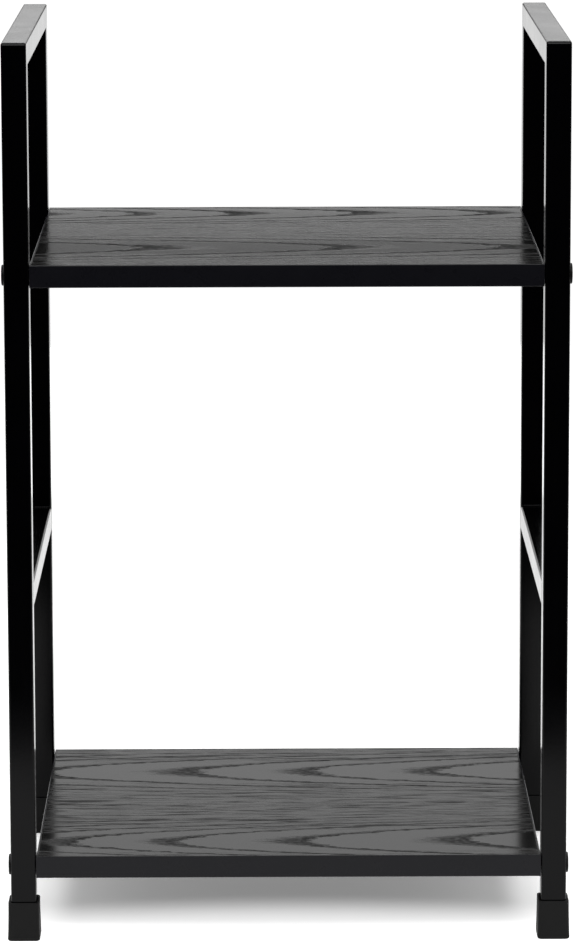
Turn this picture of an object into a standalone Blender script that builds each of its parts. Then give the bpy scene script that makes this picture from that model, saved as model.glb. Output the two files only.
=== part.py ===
"""Desk hutch: two welded square-tube side frames joined by two laminated boards.

Metres, +Z up. X runs across the hutch, its open front faces -Y, and the origin is on the surface
that the hutch stands on, under the middle of the hutch.
"""

import math

import bmesh
import bpy
from mathutils import Matrix, Vector

# Overall size
WIDTH = 0.400  # over the outer faces of the two side frames
DEPTH = 0.300  # front face of the front posts to back face of the back posts
HEIGHT = 0.650  # standing surface to the top faces of the frames
CLEARANCE = 0.0003  # gap kept between pieces that touch

# Square steel tube of the frames
TUBE = 0.018
TUBE_WALL = 0.0012
TUBE_CORNER = 0.002
CORNER_STEPS = 3
MID_RAIL_TOP = 0.260

# Shelf boards with their edge bands
BOARD = 0.016  # thickness
BAND = 0.001
BAND_CORNER = 0.0005
SHELF_TOPS = {"upper": 0.4925, "lower": 0.0625}

# Slip-on foot caps
CAP_HEIGHT = 0.0285
CAP_FLOOR = 0.003
CAP_TOP_SIDE = 0.0210
CAP_BOTTOM_SIDE = 0.0224
CAP_CORNER = 0.0022
CAP_BOTTOM_ROUND = 0.0012

# M6 furniture bolts and the threaded inserts that they enter
SHANK_RADIUS = 0.003
HEAD_RADIUS = 0.0074
HEAD_HEIGHT = 0.0014
HEAD_ROUND = 0.0006
SOCKET_ACROSS_FLATS = 0.004
SOCKET_DEPTH = 0.003
BOLT_LENGTH = 0.030  # under the head
INSERT_RADIUS = 0.005
INSERT_LENGTH = 0.013
HOLE_FACETS = 24

# Derived places
POST_X = (WIDTH - TUBE) / 2
POST_Y = (DEPTH - TUBE) / 2
POST_BOTTOM = CAP_FLOOR + CLEARANCE
SHELF_WIDTH = WIDTH - 2 * TUBE - 2 * CLEARANCE
INNER_TUBE = TUBE - 2 * TUBE_WALL
MITRE_INSET = CLEARANCE / math.sqrt(2)
BORE_RADIUS = SHANK_RADIUS + CLEARANCE
INSERT_HOLE_RADIUS = INSERT_RADIUS + CLEARANCE

SIDES = {"left": -1, "right": 1}
ENDS = {"front": -1, "back": 1}

# name: (colour, roughness, metallic)
FINISHES = {
    "black_paint": ((0.006, 0.006, 0.007), 0.18, 0.0),
    "black_ash_board": ((0.020, 0.020, 0.021), 0.42, 0.0),
    "black_edge_band": ((0.012, 0.012, 0.014), 0.35, 0.0),
    "black_rubber": ((0.018, 0.018, 0.018), 0.60, 0.0),
    "black_bolt_steel": ((0.010, 0.010, 0.010), 0.30, 0.6),
    "insert_brass": ((0.55, 0.40, 0.16), 0.35, 1.0),
}


def clear_scene():
    for obj in list(bpy.data.objects):
        bpy.data.objects.remove(obj, do_unlink=True)


def make_collection(name):
    collection = bpy.data.collections.new(name)
    bpy.context.scene.collection.children.link(collection)
    return collection


def make_material(name):
    colour, roughness, metallic = FINISHES[name]
    material = bpy.data.materials.new(name)
    material.use_nodes = True
    shader = material.node_tree.nodes["Principled BSDF"]
    shader.inputs["Base Color"].default_value = (*colour, 1.0)
    shader.inputs["Roughness"].default_value = roughness
    shader.inputs["Metallic"].default_value = metallic
    return material


def make_object(name, shape, collection, parent=None, finish=None):
    """An object from a bmesh, which is freed. Each object has a material of its own."""
    mesh = bpy.data.meshes.new(name)
    shape.to_mesh(mesh)
    shape.free()
    obj = bpy.data.objects.new(name, mesh)
    collection.objects.link(obj)
    if parent is not None:
        obj.parent = parent
    if finish is not None:
        material = make_material(finish)
        material.name = f"{name}_{finish}"
        mesh.materials.append(material)
    return obj


def make_cutter(name, shape, location, rotation=(0, 0, 0)):
    cutter = make_object(name, shape, CUTTERS)
    cutter.location = location
    cutter.rotation_euler = rotation
    cutter.hide_render = True
    cutter.display_type = "WIRE"
    return cutter


def cut(obj, cutter):
    modifier = obj.modifiers.new(f"Cut {cutter.name}", "BOOLEAN")
    modifier.operation = "DIFFERENCE"
    modifier.solver = "EXACT"
    modifier.object = cutter


def block(size):
    """A box with its centre at the origin."""
    shape = bmesh.new()
    bmesh.ops.create_cube(shape, size=1.0)
    bmesh.ops.scale(shape, vec=size, verts=shape.verts)
    return shape


def round_edges(shape, along, radius, steps=CORNER_STEPS):
    """Rounds the edges that run along one axis: 0, 1 or 2 for X, Y or Z."""
    def runs_along(edge):
        direction = (edge.verts[1].co - edge.verts[0].co).normalized()
        return abs(direction[along]) > 0.99

    bmesh.ops.bevel(
        shape,
        geom=[edge for edge in shape.edges if runs_along(edge)],
        offset=radius,
        segments=steps,
        profile=0.5,
        affect="EDGES",
    )


def bar(length, side, corner, mitred=False):
    """A square bar from z = 0 to z = length. A mitred end slopes inwards from the -Y face."""
    shape = block((side, side, length))
    bmesh.ops.translate(shape, vec=(0, 0, length / 2), verts=shape.verts)
    round_edges(shape, 2, corner)
    if mitred:
        for vertex in shape.verts:
            if vertex.co.z > length / 2:
                vertex.co.z -= vertex.co.y + TUBE / 2 + MITRE_INSET
    return shape


def mitre_both_ends(shape, length):
    for vertex in shape.verts:
        inset = vertex.co.y + TUBE / 2 + MITRE_INSET
        vertex.co.z += -inset if vertex.co.z > length / 2 else inset


def hollow(obj, length, location, rotation):
    """Opens a tube right through, past both of its ends."""
    bore = bar(length + 4 * TUBE, INNER_TUBE, TUBE_CORNER - TUBE_WALL)
    bmesh.ops.translate(bore, vec=(0, 0, -2 * TUBE), verts=bore.verts)
    cut(obj, make_cutter(f"{obj.name}_bore", bore, location, rotation))


def cylinder(radius, length, facets=HOLE_FACETS):
    shape = bmesh.new()
    bmesh.ops.create_cone(
        shape,
        cap_ends=True,
        segments=facets,
        radius1=radius,
        radius2=radius,
        depth=length,
    )
    return shape


def cylinder_along_x(radius, length):
    shape = cylinder(radius, length)
    turn = Matrix.Rotation(math.pi / 2, 3, "Y")
    bmesh.ops.rotate(shape, cent=(0, 0, 0), matrix=turn, verts=shape.verts)
    return shape


def shelf_middle(shelf):
    return SHELF_TOPS[shelf] - BOARD / 2


def add_post(side, end, frame):
    """An upright tube, mitred at the top, with a bolt hole through both walls at each shelf."""
    name = f"{side}_{end}_post"
    length = HEIGHT - POST_BOTTOM
    post = make_object(name, bar(length, TUBE, TUBE_CORNER, mitred=True), PARTS, frame, "black_paint")
    post.location = (0, ENDS[end] * POST_Y, POST_BOTTOM)
    post.rotation_euler.z = 0.0 if end == "front" else math.pi
    place = Vector((SIDES[side] * POST_X, ENDS[end] * POST_Y, POST_BOTTOM))
    hollow(post, length, place, (0, 0, 0))
    for shelf in SHELF_TOPS:
        hole = cylinder_along_x(BORE_RADIUS, 2 * TUBE)
        at = (place.x, place.y, shelf_middle(shelf))
        cut(post, make_cutter(f"{name}_{shelf}_hole", hole, at))


def add_top_rail(side, frame):
    """The level tube across the top of a frame, mitred to both posts."""
    shape = bar(DEPTH, TUBE, TUBE_CORNER)
    mitre_both_ends(shape, DEPTH)
    rail = make_object(f"{side}_top_rail", shape, PARTS, frame, "black_paint")
    rail.location = (0, -DEPTH / 2, HEIGHT - TUBE / 2)
    rail.rotation_euler.x = -math.pi / 2
    place = (SIDES[side] * POST_X, -DEPTH / 2, HEIGHT - TUBE / 2)
    hollow(rail, DEPTH, place, rail.rotation_euler)


def add_mid_rail(side, frame):
    """The level tube welded between the posts, below their middle."""
    length = DEPTH - 2 * TUBE - 2 * CLEARANCE
    rail = make_object(
        f"{side}_mid_rail", bar(length, TUBE, TUBE_CORNER), PARTS, frame, "black_paint"
    )
    rail.location = (0, -length / 2, MID_RAIL_TOP - TUBE / 2)
    rail.rotation_euler.x = -math.pi / 2
    place = (SIDES[side] * POST_X, -length / 2, MID_RAIL_TOP - TUBE / 2)
    hollow(rail, length, place, rail.rotation_euler)


def add_foot_cap(side, end, frame):
    """A flared cap that slips over the bottom of a post."""
    name = f"{side}_{end}_foot_cap"
    shape = block((CAP_BOTTOM_SIDE, CAP_BOTTOM_SIDE, CAP_HEIGHT))
    bmesh.ops.translate(shape, vec=(0, 0, CAP_HEIGHT / 2), verts=shape.verts)
    round_edges(shape, 2, CAP_CORNER)
    taper = CAP_TOP_SIDE / CAP_BOTTOM_SIDE
    top = [vertex for vertex in shape.verts if vertex.co.z > CAP_HEIGHT / 2]
    bmesh.ops.scale(shape, vec=(taper, taper, 1), verts=top)
    bottom = [edge for edge in shape.edges if max(v.co.z for v in edge.verts) < CAP_FLOOR]
    bmesh.ops.bevel(
        shape, geom=bottom, offset=CAP_BOTTOM_ROUND, segments=2, profile=0.5, affect="EDGES"
    )
    cap = make_object(name, shape, PARTS, frame, "black_rubber")
    cap.location = (0, ENDS[end] * POST_Y, 0)
    pocket = bar(2 * CAP_HEIGHT, TUBE + 2 * CLEARANCE, TUBE_CORNER)
    at = (SIDES[side] * POST_X, ENDS[end] * POST_Y, CAP_FLOOR)
    cut(cap, make_cutter(f"{name}_pocket", pocket, at))


def insert_places():
    """(shelf, side, end, centre of the insert) for the four corners of both shelves."""
    across = SHELF_WIDTH / 2 - INSERT_LENGTH / 2
    for shelf in SHELF_TOPS:
        for side in SIDES:
            for end in ENDS:
                centre = Vector((SIDES[side] * across, ENDS[end] * POST_Y, shelf_middle(shelf)))
                yield shelf, side, end, centre


def add_shelf(shelf):
    """A board with a band on each of its four edges, and a hole for an insert at each corner."""
    mount = bpy.data.objects.new(f"{shelf}_shelf", None)
    PARTS.objects.link(mount)
    mount.location.z = shelf_middle(shelf)

    trim = 2 * (BAND + CLEARANCE)
    core = block((SHELF_WIDTH - trim, DEPTH - trim, BOARD))
    board = make_object(f"{shelf}_shelf_board", core, PARTS, mount, "black_ash_board")

    for end, way in ENDS.items():
        shape = block((SHELF_WIDTH, BAND, BOARD))
        round_edges(shape, 2, BAND_CORNER, steps=2)
        band = make_object(f"{shelf}_shelf_{end}_band", shape, PARTS, mount, "black_edge_band")
        band.location.y = way * (DEPTH - BAND) / 2

    bands = {}
    for side, way in SIDES.items():
        shape = block((BAND, DEPTH - trim, BOARD))
        bands[side] = make_object(
            f"{shelf}_shelf_{side}_band", shape, PARTS, mount, "black_edge_band"
        )
        bands[side].location.x = way * (SHELF_WIDTH - BAND) / 2

    for of_shelf, side, end, centre in insert_places():
        if of_shelf != shelf:
            continue
        depth = 2 * (INSERT_LENGTH + CLEARANCE)  # the cutter stands half outside the board
        hole = cylinder_along_x(INSERT_HOLE_RADIUS, depth)
        at = (SIDES[side] * SHELF_WIDTH / 2, centre.y, centre.z)
        cutter = make_cutter(f"{shelf}_{side}_{end}_insert_hole", hole, at)
        cut(board, cutter)
        cut(bands[side], cutter)


def turned(profile, name, collection, finish):
    """A solid of revolution about local Z from (radius, height) points, outer side top to bottom."""
    shape = bmesh.new()
    points = [shape.verts.new((radius, 0, height)) for radius, height in profile]
    for first, second in zip(points, points[1:]):
        shape.edges.new((first, second))
    obj = make_object(name, shape, collection, None, finish)
    screw = obj.modifiers.new("Turn", "SCREW")
    screw.steps = HOLE_FACETS
    screw.render_steps = HOLE_FACETS
    screw.use_merge_vertices = True
    screw.merge_threshold = 0.00001
    screw.use_normal_calculate = False
    return obj


def bolt_profile():
    """From the middle of the head's face, over its rounded rim and down the shank."""
    rim = HEAD_RADIUS - HEAD_ROUND
    points = [(0.0, HEAD_HEIGHT)]
    for step in range(3):
        angle = math.pi / 4 * step
        radius = rim + HEAD_ROUND * math.sin(angle)
        points.append((radius, HEAD_HEIGHT - HEAD_ROUND * (1 - math.cos(angle))))
    points += [(HEAD_RADIUS, 0.0), (SHANK_RADIUS, 0.0)]
    chamfer = SHANK_RADIUS / 4
    points += [(SHANK_RADIUS, chamfer - BOLT_LENGTH), (SHANK_RADIUS - chamfer, -BOLT_LENGTH)]
    points.append((0.0, -BOLT_LENGTH))
    return points


def add_bolt(shelf, side, end):
    """A wide flat-headed bolt through both walls of a post into the insert behind it."""
    name = f"{shelf}_{side}_{end}_bolt"
    bolt = turned(bolt_profile(), name, PARTS, "black_bolt_steel")
    outward = SIDES[side]
    bolt.location = (outward * (WIDTH / 2 + CLEARANCE), ENDS[end] * POST_Y, shelf_middle(shelf))
    bolt.rotation_euler.y = outward * math.pi / 2
    across_corners = SOCKET_ACROSS_FLATS / math.cos(math.pi / 6)
    socket = cylinder(across_corners / 2, 2 * SOCKET_DEPTH, facets=6)
    at = bolt.location + Vector((outward * HEAD_HEIGHT, 0, 0))
    cut(bolt, make_cutter(f"{name}_socket", socket, at, bolt.rotation_euler))


def add_insert(shelf, side, end, centre):
    """A threaded sleeve in the edge of a board. Its bore is the bolt's, with a running gap."""
    half = INSERT_LENGTH / 2
    profile = [(INSERT_RADIUS, half), (INSERT_RADIUS, -half), (BORE_RADIUS, -half), (BORE_RADIUS, half)]
    profile.append(profile[0])
    insert = turned(profile, f"{shelf}_{side}_{end}_insert", PARTS, "insert_brass")
    insert.location = centre
    insert.rotation_euler.y = math.pi / 2


def smooth_round_pieces():
    for obj in PARTS.objects:
        if obj.type == "MESH":
            obj.data.shade_smooth()
            obj.data.set_sharp_from_angle(angle=math.radians(35))


clear_scene()
PARTS = make_collection("Desk hutch")
CUTTERS = make_collection("Cutters")

for side_name, outward_way in SIDES.items():
    side_frame = bpy.data.objects.new(f"{side_name}_frame", None)
    PARTS.objects.link(side_frame)
    side_frame.location.x = outward_way * POST_X
    for end_name in ENDS:
        add_post(side_name, end_name, side_frame)
        add_foot_cap(side_name, end_name, side_frame)
    add_top_rail(side_name, side_frame)
    add_mid_rail(side_name, side_frame)

for shelf_name in SHELF_TOPS:
    add_shelf(shelf_name)

for shelf_name, side_name, end_name, insert_centre in insert_places():
    add_bolt(shelf_name, side_name, end_name)
    add_insert(shelf_name, side_name, end_name, insert_centre)

smooth_round_pieces()
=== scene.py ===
"""Looks of the desk hutch: painted tube frames, ash-grain boards, edge bands, foot caps and bolts.

Every piece takes its place from the CAD frame, in metres. X runs across the hutch, its open front
faces -Y, and it stands on z = 0.
"""

import math

import bmesh
import bpy
from mathutils import Matrix, Vector


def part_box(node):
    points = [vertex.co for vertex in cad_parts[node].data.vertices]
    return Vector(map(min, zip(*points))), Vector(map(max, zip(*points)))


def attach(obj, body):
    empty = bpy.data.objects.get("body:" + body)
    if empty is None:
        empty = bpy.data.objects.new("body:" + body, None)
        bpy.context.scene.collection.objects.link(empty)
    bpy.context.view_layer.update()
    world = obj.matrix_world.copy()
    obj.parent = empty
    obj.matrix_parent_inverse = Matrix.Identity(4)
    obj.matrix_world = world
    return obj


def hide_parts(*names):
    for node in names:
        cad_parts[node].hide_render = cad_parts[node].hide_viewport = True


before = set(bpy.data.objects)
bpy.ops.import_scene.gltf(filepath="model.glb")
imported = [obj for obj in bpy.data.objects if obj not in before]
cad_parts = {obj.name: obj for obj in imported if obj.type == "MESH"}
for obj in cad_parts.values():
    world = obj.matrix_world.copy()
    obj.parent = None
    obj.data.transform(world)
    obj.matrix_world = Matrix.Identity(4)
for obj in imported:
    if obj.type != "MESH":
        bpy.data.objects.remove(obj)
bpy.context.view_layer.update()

BODY = "root"
SIDES = ("left", "right")
ENDS = ("front", "back")
SHELVES = ("upper", "lower")

# Places and sizes that come from the CAD nodes
POST_LOW, POST_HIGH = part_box("left_front_post")
TUBE = POST_HIGH.x - POST_LOW.x
FRAME_FRONT = POST_LOW.y
FRAME_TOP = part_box("left_top_rail")[1].z

# Finish details that are finer than the CAD solids
TUBE_CORNER = 0.0016  # the tube's outside corner radius
CORNER_STEPS = 5
WELD_ROUND = 0.0024  # the ground mitre's outside radius, seen from the side
BOARD_ARRIS = 0.0002
BAND_ARRIS = 0.0006
BAND_SEAM = 0.00025  # the CAD's gap round a board, closed to a glue line
CAP_SPREAD = 0.0010  # a fitted foot cap is stretched by this much across
CAP_FLARE = 0.0013  # how much wider a foot cap is at its sole than at its rim
BOLT_HEAD = 0.0014  # height of a bolt's head
PAINT_FILM = 0.0002  # a bolt's head sits on the paint
TOUCHING = 1e-6

# The laminate's flames: for each row, y of its middle and the tips' places from tip to open end
LOWER_FLAMES = (
    (0.080, (-0.180, -0.067, 0.022, 0.119)),
    (-0.112, (-0.154, -0.079, 0.019, 0.133)),
)
UPPER_FLAMES = (
    (0.113, (-0.147, -0.053, 0.042, 0.117)),
    (-0.065, (-0.150, -0.0275, 0.108)),
)


# ---------------------------------------------------------------- mesh helpers


def add_piece(name, shape, material, replaced, smooth_angle=40):
    """Makes an object from a bmesh, rides it on the frame and lets it stand for CAD nodes."""
    bmesh.ops.recalc_face_normals(shape, faces=shape.faces)
    mesh = bpy.data.meshes.new(name)
    shape.to_mesh(mesh)
    shape.free()
    mesh.materials.append(material)
    mesh.shade_smooth()
    mesh.set_sharp_from_angle(angle=math.radians(smooth_angle))
    piece = bpy.data.objects.new(name, mesh)
    bpy.context.scene.collection.objects.link(piece)
    weighted = piece.modifiers.new("Flat faces stay flat", "WEIGHTED_NORMAL")
    weighted.keep_sharp = True
    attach(piece, BODY)
    if replaced:
        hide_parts(*replaced)
    return piece


def block(low, high):
    """A box between two corners."""
    shape = bmesh.new()
    bmesh.ops.create_cube(shape, size=1.0)
    bmesh.ops.scale(shape, vec=high - low, verts=shape.verts)
    bmesh.ops.translate(shape, vec=(low + high) / 2, verts=shape.verts)
    return shape


def round_edges(shape, radius, steps, chosen=lambda edge: True):
    """Rounds the chosen edges, which are all of them unless a test is given."""
    edges = [edge for edge in shape.edges if chosen(edge)]
    bmesh.ops.bevel(
        shape, geom=edges, offset=radius, segments=steps, profile=0.5, affect="EDGES"
    )


def rounded_square(side, radius, steps):
    """Points round a square with round corners, centred on the origin, counter-clockwise."""
    reach = side / 2 - radius
    points = []
    for turn in range(4):
        corner = turn * math.pi / 2
        middle = corner + math.pi / 4
        centre = Vector((math.cos(middle), math.sin(middle))) * reach * math.sqrt(2)
        for step in range(steps + 1):
            angle = corner + step / steps * math.pi / 2
            points.append(centre + Vector((math.cos(angle), math.sin(angle))) * radius)
    return points


def skin(shape, rings, closed=False):
    """Quads between rings of points, with the two end rings capped unless the rings close."""
    made = [[shape.verts.new(point) for point in ring] for ring in rings]
    pairs = list(zip(made, made[1:]))
    if closed:
        pairs.append((made[-1], made[0]))
    for first, second in pairs:
        count = len(first)
        for i in range(count):
            j = (i + 1) % count
            shape.faces.new((first[i], first[j], second[j], second[i]))
    if not closed:
        shape.faces.new(made[0])
        shape.faces.new(reversed(made[-1]))


# ---------------------------------------------------------------- frames


def frame_rings(centre_x, bottom):
    """Rings of tube outline up the front post, across the top and down the back post.

    A point's depth is its distance from the frame's outer face. At the two top corners the points
    nearer than the weld's radius follow arcs, and the deeper ones meet on the mitre.
    """
    outline = rounded_square(TUBE, TUBE_CORNER, CORNER_STEPS)
    half_depth = -FRAME_FRONT
    arc_steps = 6

    def corner(depth, angle):
        """How far a point lies in from the frame's front or back, and down from its top."""
        if depth < WELD_ROUND:
            inset = WELD_ROUND - (WELD_ROUND - depth) * math.cos(angle)
            drop = WELD_ROUND - (WELD_ROUND - depth) * math.sin(angle)
            return inset, drop
        return depth, depth

    def ring(way, angle=None):
        """way is -1 on the front post and 1 on the back one. Without an angle it's the foot."""
        points = []
        for across, deep in outline:
            depth = deep + TUBE / 2
            if angle is None:
                points.append((centre_x + across, way * (half_depth - depth), bottom))
            else:
                inset, drop = corner(depth, angle)
                points.append((centre_x + across, way * (half_depth - inset), FRAME_TOP - drop))
        return points

    angles = [step / arc_steps * math.pi / 2 for step in range(arc_steps + 1)]
    rings = [ring(-1)]
    rings += [ring(-1, angle) for angle in angles]
    rings += [ring(1, angle) for angle in reversed(angles)]
    rings.append(ring(1))
    return rings


def add_side_frame(side, paint):
    """The two posts and the top rail, welded, ground and painted as one."""
    low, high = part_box(f"{side}_front_post")
    shape = bmesh.new()
    skin(shape, frame_rings((low.x + high.x) / 2, low.z))
    bmesh.ops.remove_doubles(shape, verts=shape.verts, dist=TOUCHING)
    nodes = [f"{side}_front_post", f"{side}_back_post", f"{side}_top_rail"]
    add_piece(f"{side}_side_frame", shape, paint, nodes)


def add_mid_rail(side, paint):
    """The mid rail runs from post to post and meets each one in a fillet weld."""
    low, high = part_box(f"{side}_mid_rail")
    centre = (low + high) / 2
    reach = -FRAME_FRONT - TUBE
    outline = rounded_square(TUBE, TUBE_CORNER, CORNER_STEPS)
    shape = bmesh.new()
    rings = [
        [(centre.x + across, end, centre.z + up) for across, up in outline]
        for end in (-reach, reach)
    ]
    skin(shape, rings)
    add_piece(f"{side}_mid_rail_tube", shape, paint, [f"{side}_mid_rail"])
    for end, way in (("front", -1), ("back", 1)):
        place = Vector((centre.x, way * reach, centre.z))
        add_weld(f"{side}_mid_rail_{end}_weld", place, -way, paint)


def add_weld(name, place, way, paint):
    """A fillet of weld metal over and under the end of a mid rail. way points along Y.

    The rail is as wide as the post, so the weld is ground flush on its two sides.
    """
    leg = 0.0010
    flush = 0.00003
    ripple = 0.00008
    ripples = 40
    hollow = 0.75  # how far the bead's face curves in
    root_depth = 0.0004
    ground = 0.3  # the bead rises where the outline faces up or down by more than this
    steps_along = 4 * ripples
    steps_round = 6
    path = resample(rounded_square(TUBE, TUBE_CORNER, 12), steps_along)
    shape = bmesh.new()
    rings = []
    for i, (point, outward) in enumerate(path):
        proud = max(abs(outward.y) - ground, 0.0) / (1 - ground)
        size = flush + (leg - flush) * proud ** 2
        size += ripple * proud * math.sin(2 * math.pi * ripples * i / steps_along)
        ring = []
        for step in range(steps_round + 1):
            angle = step / steps_round * math.pi / 2
            away = size * (1 - math.sin(angle) * hollow)
            along = size * (1 - math.cos(angle) * hollow)
            flat = point + outward * away
            ring.append((place.x + flat.x, place.y + way * along, place.z + flat.y))
        root = point - outward * root_depth
        ring.append((place.x + root.x, place.y - way * root_depth, place.z + root.y))
        rings.append(ring)
    skin(shape, rings, closed=True)
    add_piece(name, shape, paint, [], smooth_angle=70)


def resample(points, count):
    """count points evenly spaced round a closed outline, each with its outward direction."""
    ends = points[1:] + points[:1]
    lengths = [(b - a).length for a, b in zip(points, ends)]
    total = sum(lengths)
    found = []
    for i in range(count):
        left = total * i / count
        for a, b, length in zip(points, ends, lengths):
            if left <= length and length > 0:
                break
            left -= length
        direction = (b - a).normalized()
        found.append((a + direction * left, Vector((direction.y, -direction.x))))
    return found


# ---------------------------------------------------------------- shelves


def band_corners(shelf, edge):
    """The lowest and highest corners of an edge band, grown to close its seams."""
    low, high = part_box(f"{shelf}_shelf_{edge}_band")
    if edge == "front":
        high.y += BAND_SEAM
    elif edge == "back":
        low.y -= BAND_SEAM
    elif edge == "left":
        high.x += BAND_SEAM
    else:
        low.x -= BAND_SEAM
    if edge in ("left", "right"):
        low.y -= BAND_SEAM
        high.y += BAND_SEAM
    return low, high


def add_shelf(shelf, laminate, band_plastic):
    """The laminated board and the plain bands on its four edges."""
    low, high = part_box(f"{shelf}_shelf_board")
    shape = block(low, high)
    round_edges(shape, BOARD_ARRIS, 2)
    add_piece(f"{shelf}_shelf_panel", shape, laminate, [f"{shelf}_shelf_board"])

    # For each band: the axis it runs along, the axis it faces, and which way it faces
    bands = {"front": (0, 1, -1), "back": (0, 1, 1), "left": (1, 0, -1), "right": (1, 0, 1)}
    for edge, (lengthways, outward, way) in bands.items():
        shape = block(*band_corners(shelf, edge))
        limit = max(way * vert.co[outward] for vert in shape.verts)

        def is_outer_arris(line, lengthways=lengthways, outward=outward, way=way, limit=limit):
            first, second = (vert.co for vert in line.verts)
            runs_along = abs(first[lengthways] - second[lengthways]) > TUBE
            return runs_along and abs(way * first[outward] - limit) < TOUCHING

        round_edges(shape, BAND_ARRIS, 4, is_outer_arris)
        node = f"{shelf}_shelf_{edge}_band"
        add_piece(f"{shelf}_{edge}_edge_band", shape, band_plastic, [node])


# ---------------------------------------------------------------- foot caps


def foot_cap_levels(bottom_side, height):
    """(height, side, corner radius) from the middle of the sole up the outside to the pocket."""
    top_side = bottom_side - CAP_FLARE
    sole_round = 0.0016
    lip = 0.0005
    levels = []
    for step in range(5):
        angle = step / 4 * math.pi / 2
        inset = sole_round * (1 - math.sin(angle))
        levels.append((sole_round * (1 - math.cos(angle)), bottom_side - 2 * inset, 0.0026))
    for share in (0.25, 0.5, 0.75):
        flare = bottom_side + (top_side - bottom_side) * (1 - (1 - share) ** 1.6)
        levels.append((height * share, flare, 0.0026))
    levels.append((height - lip, top_side, 0.0025))
    for step in range(1, 4):
        angle = step / 3 * math.pi / 2
        rise = lip * math.sin(angle)
        levels.append((height - lip + rise, top_side - 2 * lip * (1 - math.cos(angle)), 0.0024))
    pocket = TUBE + 0.0005
    levels.append((height - 0.0001, pocket + 0.0006, 0.0023))
    levels.append((height - 0.0005, pocket, 0.0022))
    levels.append((height - 0.004, pocket, 0.0022))
    return levels


def add_foot_cap(side, end, rubber):
    """A flared, closed-bottomed cap with a thin lip round the post."""
    node = f"{side}_{end}_foot_cap"
    low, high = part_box(node)
    post_low, post_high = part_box(f"{side}_{end}_post")
    centre = (post_low + post_high) / 2
    shape = bmesh.new()
    rings = []
    for level, width, radius in foot_cap_levels(high.x - low.x + CAP_SPREAD, high.z - low.z):
        outline = rounded_square(width, radius, 6)
        rings.append([(centre.x + x, centre.y + y, low.z + level) for x, y in outline])
    skin(shape, rings)
    add_piece(f"{side}_{end}_foot", shape, rubber, [node], smooth_angle=50)


# ---------------------------------------------------------------- bolts


def add_bolt(shelf, side, end, steel):
    """The whole bolt: a wide low head with a rounded rim and a hex socket, and its shank."""
    node = f"{shelf}_{side}_{end}_bolt"
    low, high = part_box(node)
    outward, face_x, tip_x = (-1, low.x, high.x) if side == "left" else (1, high.x, low.x)
    under_x = face_x - outward * BOLT_HEAD
    seat_x = under_x - outward * PAINT_FILM
    centre = (low + high) / 2

    segments = 72
    radius = (high.z - low.z) / 2
    rim = 0.0007
    shank = 0.0030
    socket = 0.0023  # to the hexagon's corners
    socket_depth = 0.0026

    def ring_at(x, reach_at):
        ring = []
        for i in range(segments):
            angle = 2 * math.pi * i / segments
            reach = reach_at(angle)
            ring.append((x, centre.y + reach * math.cos(angle), centre.z + reach * math.sin(angle)))
        return ring

    def circle(x, reach):
        return ring_at(x, lambda angle: reach)

    def hexagon(x, corner):
        flat = corner * math.cos(math.pi / 6)
        return ring_at(x, lambda angle: flat / math.cos(angle % (math.pi / 3) - math.pi / 6))

    rings = [circle(tip_x, shank), circle(seat_x, shank)]
    rings += [circle(seat_x, radius - 0.0001), circle(under_x, radius)]
    for step in range(5):
        angle = step / 4 * math.pi / 2
        reach = radius - rim * (1 - math.cos(angle))
        rings.append(circle(face_x - outward * rim * (1 - math.sin(angle)), reach))
    rings.append(circle(face_x + outward * 0.00005, 0.0033))  # the face swells a little
    rings.append(circle(face_x - outward * 0.0001, 0.0028))
    rings.append(hexagon(face_x - outward * 0.0003, socket))
    rings.append(hexagon(face_x - outward * socket_depth, socket))
    rings.append(hexagon(face_x - outward * (socket_depth + 0.0004), socket * 0.7))
    shape = bmesh.new()
    skin(shape, rings)
    add_piece(f"{shelf}_{side}_{end}_bolt_black", shape, steel, [node], smooth_angle=35)


# ---------------------------------------------------------------- materials


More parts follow.
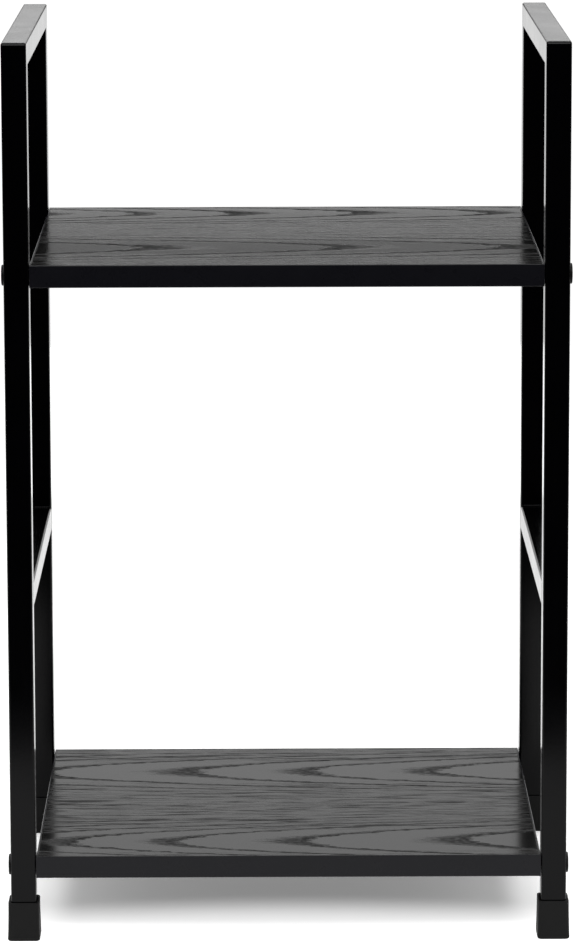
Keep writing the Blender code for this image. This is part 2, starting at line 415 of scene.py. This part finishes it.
class Nodes:
    """Short calls for building a material's node graph."""

    def __init__(self, name):
        self.material = bpy.data.materials.new(name)
        self.material.use_nodes = True
        self.tree = self.material.node_tree
        self.shader = self.tree.nodes["Principled BSDF"]
        coordinates = self.tree.nodes.new("ShaderNodeTexCoord")
        self.place = coordinates.outputs["Object"]

    def wire(self, value, socket):
        if isinstance(value, bpy.types.NodeSocket):
            self.tree.links.new(value, socket)
        else:
            socket.default_value = value

    def math(self, operation, first, second=0.0, third=0.0):
        node = self.tree.nodes.new("ShaderNodeMath")
        node.operation = operation
        for socket, value in zip(node.inputs, (first, second, third)):
            self.wire(value, socket)
        return node.outputs[0]

    def add(self, first, second):
        return self.math("ADD", first, second)

    def times(self, first, second):
        return self.math("MULTIPLY", first, second)

    def step(self, value, low, high, to_low=0.0, to_high=1.0):
        """A smooth step of value from to_low at low up to to_high at high."""
        node = self.tree.nodes.new("ShaderNodeMapRange")
        node.interpolation_type = "SMOOTHSTEP"
        for name, number in (
            ("Value", value),
            ("From Min", low),
            ("From Max", high),
            ("To Min", to_low),
            ("To Max", to_high),
        ):
            self.wire(number, node.inputs[name])
        return node.outputs[0]

    def curve(self, value, low, high, points):
        """Straight runs between (value, result) points. value and the results are low to high."""
        node = self.tree.nodes.new("ShaderNodeFloatCurve")
        self.wire(self.straight_step(value, low, high), node.inputs["Value"])
        line = node.mapping.curves[0]
        while len(line.points) < len(points):
            line.points.new(0.5, 0.5)
        for point, (place, result) in zip(line.points, sorted(points)):
            point.location = ((place - low) / (high - low), (result - low) / (high - low))
            point.handle_type = "VECTOR"
        node.mapping.update()
        return self.add(self.times(node.outputs[0], high - low), low)

    def straight_step(self, value, low, high):
        """A straight, clamped ramp from 0 at low to 1 at high."""
        node = self.tree.nodes.new("ShaderNodeMapRange")
        self.wire(value, node.inputs["Value"])
        node.inputs["From Min"].default_value = low
        node.inputs["From Max"].default_value = high
        return node.outputs[0]

    def split_place(self):
        """The place's X, Y and Z."""
        node = self.tree.nodes.new("ShaderNodeSeparateXYZ")
        self.wire(self.place, node.inputs[0])
        return node.outputs

    def stretched(self, scale, location=(0.0, 0.0, 0.0)):
        node = self.tree.nodes.new("ShaderNodeMapping")
        self.wire(self.place, node.inputs["Vector"])
        node.inputs["Scale"].default_value = scale
        node.inputs["Location"].default_value = location
        return node.outputs[0]

    def noise(self, vector, scale=1.0, detail=2.0, roughness=0.5):
        node = self.tree.nodes.new("ShaderNodeTexNoise")
        self.wire(vector, node.inputs["Vector"])
        node.inputs["Scale"].default_value = scale
        node.inputs["Detail"].default_value = detail
        node.inputs["Roughness"].default_value = roughness
        return node.outputs["Fac"]

    def blend(self, share, first, second):
        """A colour between two others."""
        node = self.tree.nodes.new("ShaderNodeMix")
        node.data_type = "RGBA"
        self.wire(share, node.inputs["Factor"])
        self.wire(first, node.inputs["A"])
        self.wire(second, node.inputs["B"])
        return node.outputs["Result"]

    def bump(self, height, distance, strength=1.0):
        node = self.tree.nodes.new("ShaderNodeBump")
        node.inputs["Strength"].default_value = strength
        node.inputs["Distance"].default_value = distance
        self.wire(height, node.inputs["Height"])
        return node.outputs["Normal"]

    def finish(self, **inputs):
        """Sets or links the shader's inputs, named with _ for a space, and gives the material."""
        for name, value in inputs.items():
            self.wire(value, self.shader.inputs[name.replace("_", " ")])
        return self.material


def grey(level, blue=0.0):
    return (level, level, level + blue, 1.0)


def gloss_paint():
    """Smooth black powder coat with faint orange peel and a little uneven gloss."""
    nodes = Nodes("gloss_black_paint")
    peel = nodes.noise(nodes.place, scale=420.0, detail=2.0)
    cloud = nodes.noise(nodes.place, scale=35.0, detail=3.0)
    tone = nodes.blend(cloud, grey(0.0002), grey(0.0004, 0.0003))
    roughness = nodes.step(cloud, 0.3, 0.7, 0.145, 0.165)
    normal = nodes.bump(peel, 0.00004, 0.25)
    nodes.shader.inputs["IOR"].default_value = 1.185
    return nodes.finish(Base_Color=tone, Roughness=roughness, Normal=normal)


def band_plastic():
    """Plain satin edge band with a very fine pebble."""
    nodes = Nodes("satin_black_band")
    pebble = nodes.noise(nodes.place, scale=1600.0, detail=2.0)
    cloud = nodes.noise(nodes.place, scale=60.0, detail=2.0)
    tone = nodes.blend(cloud, grey(0.0030, 0.0010), grey(0.0038, 0.0013))
    roughness = nodes.step(cloud, 0.3, 0.7, 0.27, 0.29)
    normal = nodes.bump(pebble, 0.00003, 0.4)
    nodes.shader.inputs["IOR"].default_value = 1.218
    return nodes.finish(Base_Color=tone, Roughness=roughness, Normal=normal)


def foot_rubber():
    """Matte black rubber with a fine moulded grain."""
    nodes = Nodes("matte_black_rubber")
    grain = nodes.noise(nodes.place, scale=2200.0, detail=3.0, roughness=0.6)
    cloud = nodes.noise(nodes.place, scale=140.0, detail=4.0)
    tone = nodes.blend(cloud, grey(0.0026), grey(0.0040))
    roughness = nodes.step(grain, 0.3, 0.7, 0.52, 0.68)
    normal = nodes.bump(grain, 0.00006, 0.5)
    nodes.shader.inputs["IOR"].default_value = 1.205
    return nodes.finish(Base_Color=tone, Roughness=roughness, Normal=normal)


def black_steel():
    """Blackened bolt steel with an uneven satin."""
    nodes = Nodes("black_bolt_steel")
    cloud = nodes.noise(nodes.place, scale=900.0, detail=3.0)
    tone = nodes.blend(cloud, grey(0.003), grey(0.006))
    roughness = nodes.step(cloud, 0.3, 0.7, 0.26, 0.40)
    normal = nodes.bump(cloud, 0.00003, 0.4)
    nodes.shader.inputs["IOR"].default_value = 1.14
    return nodes.finish(Base_Color=tone, Roughness=roughness, Normal=normal)


def turned_brass():
    """Brass with fine turning rings across X."""
    nodes = Nodes("turned_brass")
    rings = nodes.noise(nodes.stretched((2500.0, 120.0, 120.0)), detail=2.0)
    tone = nodes.blend(rings, (0.42, 0.28, 0.09, 1.0), (0.62, 0.44, 0.17, 1.0))
    normal = nodes.bump(rings, 0.00004, 0.6)
    nodes.shader.inputs["Metallic"].default_value = 1.0
    nodes.shader.inputs["Roughness"].default_value = 0.32
    return nodes.finish(Base_Color=tone, Normal=normal)


def flames(nodes, x, y, rows, drift):
    """The distance from the nearest row's middle line, and the growth rings' phase round it.

    A flame's outline is x = opening * y squared from its tip. The phase runs from 0 to 1 over
    each ring, and the rings' tips fall at the places that the row gives.
    """
    opening = 100.0
    reach = 0.25  # past the board's ends
    found = []
    for middle, tips in rows:
        spacing = (max(tips) - min(tips)) / (len(tips) - 1)
        away = nodes.math("ABSOLUTE", nodes.add(y, -middle))
        bowed = nodes.times(nodes.times(away, away), -opening)
        distance = nodes.add(nodes.add(x, bowed), drift)
        even = [(tip, min(tips) + spacing * i) for i, tip in enumerate(sorted(tips))]
        shifts = [(tip, place - tip) for tip, place in even]
        shift = nodes.curve(distance, -reach, reach, shifts)
        phase = nodes.times(nodes.add(nodes.add(distance, shift), -min(tips)), 1 / spacing)
        found.append((away, nodes.math("FRACT", phase)))
    (first_away, first_phase), (second_away, second_phase) = found
    is_first = nodes.math("LESS_THAN", first_away, second_away)

    def chosen(first, second):
        return nodes.add(second, nodes.times(nodes.add(first, nodes.times(second, -1)), is_first))

    return chosen(first_away, second_away), chosen(first_phase, second_phase)


def ash_laminate(name, way, rows, slide, calm, ior):
    """Black ash laminate. Two rows of flames run along X, with straight grain between the rows.

    Each row gives its middle's y and the x of its flames' tips, from tip to open end. way is 1
    where the tips point left, and -1 where the print is turned round and they point right.
    slide moves the noise along, and calm is how strongly the straight grain shows.
    """
    nodes = Nodes(name)
    place = nodes.split_place()
    x = nodes.times(place["X"], way)
    y = place["Y"]

    def streaks(along, across, shift, detail):
        """Noise with its streaks along X. along and across are scales."""
        vector = nodes.stretched((along, across, 1.0), location=(slide, shift, 0))
        return nodes.noise(vector, detail=detail)

    slow = streaks(9.0, 30.0, 0.0, 2.0)
    jagged = streaks(60.0, 420.0, 3.0, 3.0)
    dots = streaks(190.0, 620.0, 1.0, 2.0)
    dashes = streaks(20.0, 420.0, 7.0, 3.0)
    threads = streaks(44.0, 860.0, 5.0, 3.0)
    strands = streaks(6.5, 240.0, 9.0, 1.0)
    breaks = streaks(28.0, 260.0, 4.0, 2.0)
    pores = nodes.noise(nodes.stretched((140.0, 2400.0, 1.0)), detail=3.0, roughness=0.65)

    wander = nodes.times(nodes.add(slow, -0.5), 0.026)
    jag = nodes.times(nodes.add(jagged, -0.5), 0.036)
    away, phase = flames(nodes, x, y, rows, nodes.add(wander, jag))

    # A growth ring darkens towards its sharp outer edge, in a broad smear at a flame's tip
    start = nodes.step(away, 0.002, 0.020, 0.50, 0.66)
    smear = nodes.step(phase, start, 0.955)
    edge = nodes.step(phase, 0.975, 1.0, 1.0, 0.0)
    fade = nodes.step(away, 0.048, 0.066, 1.0, 0.12)
    mottle = nodes.step(dots, 0.36, 0.60, 0.45, 1.0)
    near_row = nodes.step(away, 0.044, 0.058, 1.0, 0.0)
    broken = nodes.math("MAXIMUM", nodes.step(dashes, 0.40, 0.58), near_row)
    ring = nodes.times(nodes.times(nodes.times(smear, edge), nodes.times(fade, mottle)), broken)

    # Open straight grain away from the flames
    straight = nodes.step(away, 0.020, 0.044, 0.02, calm)
    strand = nodes.step(nodes.math("ABSOLUTE", nodes.add(strands, -0.5)), 0.006, 0.060, 1.0, 0.0)
    lines = nodes.times(nodes.times(strand, nodes.step(breaks, 0.38, 0.56)), straight)
    fine = nodes.times(nodes.step(threads, 0.46, 0.64), straight)
    specks = nodes.times(nodes.step(pores, 0.55, 0.75), nodes.add(nodes.times(straight, 0.8), 0.1))
    open_grain = nodes.add(nodes.times(lines, 0.70), nodes.times(fine, 0.26))
    open_grain = nodes.add(open_grain, nodes.times(specks, 0.20))
    dark = nodes.math("MINIMUM", nodes.add(ring, open_grain), 1.0)

    # The dark grain is rougher, and sits in shallow hollows
    tone = nodes.blend(dark, grey(0.0040), grey(0.0012))
    roughness = nodes.straight_step(dark, 0.0, 1.0)
    roughness = nodes.add(nodes.times(roughness, 0.58), 0.145)
    hollows = nodes.add(nodes.times(lines, 0.6), nodes.times(fine, 0.15))
    hollows = nodes.add(hollows, nodes.add(nodes.times(ring, 0.6), nodes.times(specks, 0.06)))
    normal = nodes.bump(nodes.times(hollows, -1.0), 0.00014)
    nodes.shader.inputs["IOR"].default_value = ior
    return nodes.finish(Base_Color=tone, Roughness=roughness, Normal=normal)


# ---------------------------------------------------------------- floor, light and camera


def pale_floor():
    """A white table that glows as if lit from below. The glow is painted light, with a painted
    shadow that dims it under the hutch and round its feet.
    """
    nodes = Nodes("pale_floor")
    cloud = nodes.noise(nodes.place, scale=3.0, detail=2.0)
    tone = nodes.blend(cloud, grey(0.88), grey(0.90))
    place = nodes.split_place()
    x, y = place["X"], place["Y"]
    # Painted shadow: the floor's glow is dim under the hutch, bows forward round its feet and
    # brightens in front of it
    bowed = nodes.times(nodes.math("MINIMUM", nodes.times(x, x), 0.04), 0.6)
    painted_shadow_glow = nodes.step(nodes.add(y, bowed), -0.107, -0.034, 0.74, 0.215)
    # Painted light: the floor glows brighter far off to the sides
    painted_far_glow = nodes.step(nodes.math("ABSOLUTE", x), 0.9, 2.2, 0.0, 0.70)
    painted_light_glow = nodes.math("MAXIMUM", painted_shadow_glow, painted_far_glow)
    nodes.shader.inputs["Emission Color"].default_value = (1.0, 1.0, 1.0, 1.0)
    nodes.shader.inputs["IOR"].default_value = 1.2
    return nodes.finish(Base_Color=tone, Roughness=0.75, Emission_Strength=painted_light_glow)


def add_floor():
    """A pale table top. Its front edge lies not far in front of the hutch."""
    width, front, back = 6.0, FRAME_FRONT - 0.525, 2.4
    shape = bmesh.new()
    bmesh.ops.create_grid(shape, x_segments=1, y_segments=1, size=0.5)
    bmesh.ops.scale(shape, vec=(width, back - front, 1.0), verts=shape.verts)
    bmesh.ops.translate(shape, vec=(0.0, (front + back) / 2, 0.0), verts=shape.verts)
    mesh = bpy.data.meshes.new("floor")
    shape.to_mesh(mesh)
    shape.free()
    mesh.materials.append(pale_floor())
    floor = bpy.data.objects.new("floor", mesh)
    bpy.context.scene.collection.objects.link(floor)


def add_area_light(name, place, aim, size, power):
    """A one-sided rectangle of light, facing aim. The camera doesn't see it."""
    data = bpy.data.lights.new(name, "AREA")
    data.shape = "RECTANGLE"
    data.size, data.size_y = size
    data.energy = power
    light = bpy.data.objects.new(name, data)
    bpy.context.scene.collection.objects.link(light)
    light.location = place
    light.visible_camera = False
    light.rotation_euler = (Vector(aim) - Vector(place)).to_track_quat("-Z", "Y").to_euler()


def add_lights():
    """Softboxes over the scene, and dim panels that stand behind the hutch.

    The boards and rails are seen at a low angle, so they mirror the panels: the boards the tall
    one, the top rails' inner faces back_rails, and their tops back_strip.
    """
    add_area_light("overhead_softbox", (0.0, 1.3, 2.2), (0.0, 1.1, 0.0), (3.0, 2.4), 47.0)
    add_area_light("front_softbox", (0.0, -1.6, 2.4), (0.0, 0.0, 0.0), (2.6, 1.4), 76.0)
    panels = (
        # name, y, z of the middle, height, power
        ("back_panel", 0.95, 0.3525, 0.505, 3.9),
        ("back_rails", 0.94, 0.55, 0.06, 0.08),
        ("back_gap", 0.95, 0.66, 0.11, 0.05),
        ("back_strip", 0.95, 0.765, 0.10, 0.92),
    )
    width = 2.6
    for name, y, z, height, power in panels:
        add_area_light(name, (0.0, y, z), (0.0, 0.0, z), (width, height), power)


def add_world():
    """A studio that is white behind the hutch, lit at its sides and dark in front of it.

    The camera itself sees plain white.
    """
    world = bpy.data.worlds.new("studio")
    bpy.context.scene.world = world
    world.use_nodes = True
    tree = world.node_tree
    tree.nodes.clear()
    coordinates = tree.nodes.new("ShaderNodeTexCoord")
    split = tree.nodes.new("ShaderNodeSeparateXYZ")
    tree.links.new(coordinates.outputs["Generated"], split.inputs[0])

    def ramp(value, low, high, to_low, to_high):
        node = tree.nodes.new("ShaderNodeMapRange")
        node.interpolation_type = "SMOOTHSTEP"
        ends = {"From Min": low, "From Max": high, "To Min": to_low, "To Max": to_high}
        for name, number in ends.items():
            node.inputs[name].default_value = number
        tree.links.new(value, node.inputs["Value"])
        return node.outputs[0]

    def combine(operation, first, second):
        node = tree.nodes.new("ShaderNodeMath")
        node.operation = operation
        tree.links.new(first, node.inputs[0])
        if isinstance(second, float):
            node.inputs[1].default_value = second
        else:
            tree.links.new(second, node.inputs[1])
        return node.outputs[0]

    backdrop = ramp(split.outputs["Y"], 0.10, 0.60, 0.0, 0.12)
    sideways = combine("ABSOLUTE", split.outputs["X"], 0.0)
    at_sides = ramp(sideways, 0.45, 0.80, 0.0, 1.0)
    side_light = combine("MULTIPLY", at_sides, ramp(split.outputs["Z"], 0.05, 0.35, 0.10, 0.90))
    ahead = ramp(split.outputs["Y"], -0.45, -0.10, 0.80, 0.0)
    ahead = combine("MULTIPLY", ahead, ramp(split.outputs["Z"], 0.22, 0.42, 0.0, 1.0))
    level = combine("MAXIMUM", combine("MAXIMUM", backdrop, side_light), ahead)
    level = combine("ADD", level, 0.012)

    studio = tree.nodes.new("ShaderNodeBackground")
    studio.inputs["Color"].default_value = (1.0, 1.0, 1.0, 1.0)
    tree.links.new(level, studio.inputs["Strength"])
    plain = tree.nodes.new("ShaderNodeBackground")
    plain.inputs["Color"].default_value = (1.0, 1.0, 1.0, 1.0)
    plain.inputs["Strength"].default_value = 1.05
    rays = tree.nodes.new("ShaderNodeLightPath")
    choose = tree.nodes.new("ShaderNodeMixShader")
    output = tree.nodes.new("ShaderNodeOutputWorld")
    tree.links.new(rays.outputs["Is Camera Ray"], choose.inputs["Fac"])
    tree.links.new(studio.outputs[0], choose.inputs[1])
    tree.links.new(plain.outputs[0], choose.inputs[2])
    tree.links.new(choose.outputs[0], output.inputs["Surface"])


def add_camera():
    """A long lens a little above the hutch, looking slightly down."""
    data = bpy.data.cameras.new("camera")
    data.sensor_width = 36.0
    data.lens = 167.5
    data.shift_y = -0.2
    camera = bpy.data.objects.new("camera", data)
    bpy.context.scene.collection.objects.link(camera)
    place = Matrix.Translation((-0.0128, FRAME_FRONT - 3.0824, 0.960))
    pan = Matrix.Rotation(math.radians(-0.271), 4, "Z")
    tilt = Matrix.Rotation(math.radians(90.0 - 8.888), 4, "X")
    roll = Matrix.Rotation(math.radians(-0.153), 4, "Z")
    camera.matrix_world = place @ pan @ tilt @ roll
    bpy.context.scene.camera = camera


# ---------------------------------------------------------------- the scene

paint = gloss_paint()
plastic = band_plastic()
rubber = foot_rubber()
steel = black_steel()
brass = turned_brass()
laminates = {
    "lower": ash_laminate("black_ash_lower", 1, LOWER_FLAMES, 0.0, 1.0, 1.19),
    "upper": ash_laminate("black_ash_upper", -1, UPPER_FLAMES, 5.0, 0.48, 1.14),
}

for side in SIDES:
    add_side_frame(side, paint)
    add_mid_rail(side, paint)
    for end in ENDS:
        add_foot_cap(side, end, rubber)

for shelf in SHELVES:
    add_shelf(shelf, laminates[shelf], plastic)
    for side in SIDES:
        for end in ENDS:
            add_bolt(shelf, side, end, steel)
            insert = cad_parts[f"{shelf}_{side}_{end}_insert"]
            insert.material_slots[0].material = brass

add_floor()
add_world()
add_lights()
add_camera()
bpy.context.scene.view_settings.view_transform = "Standard"
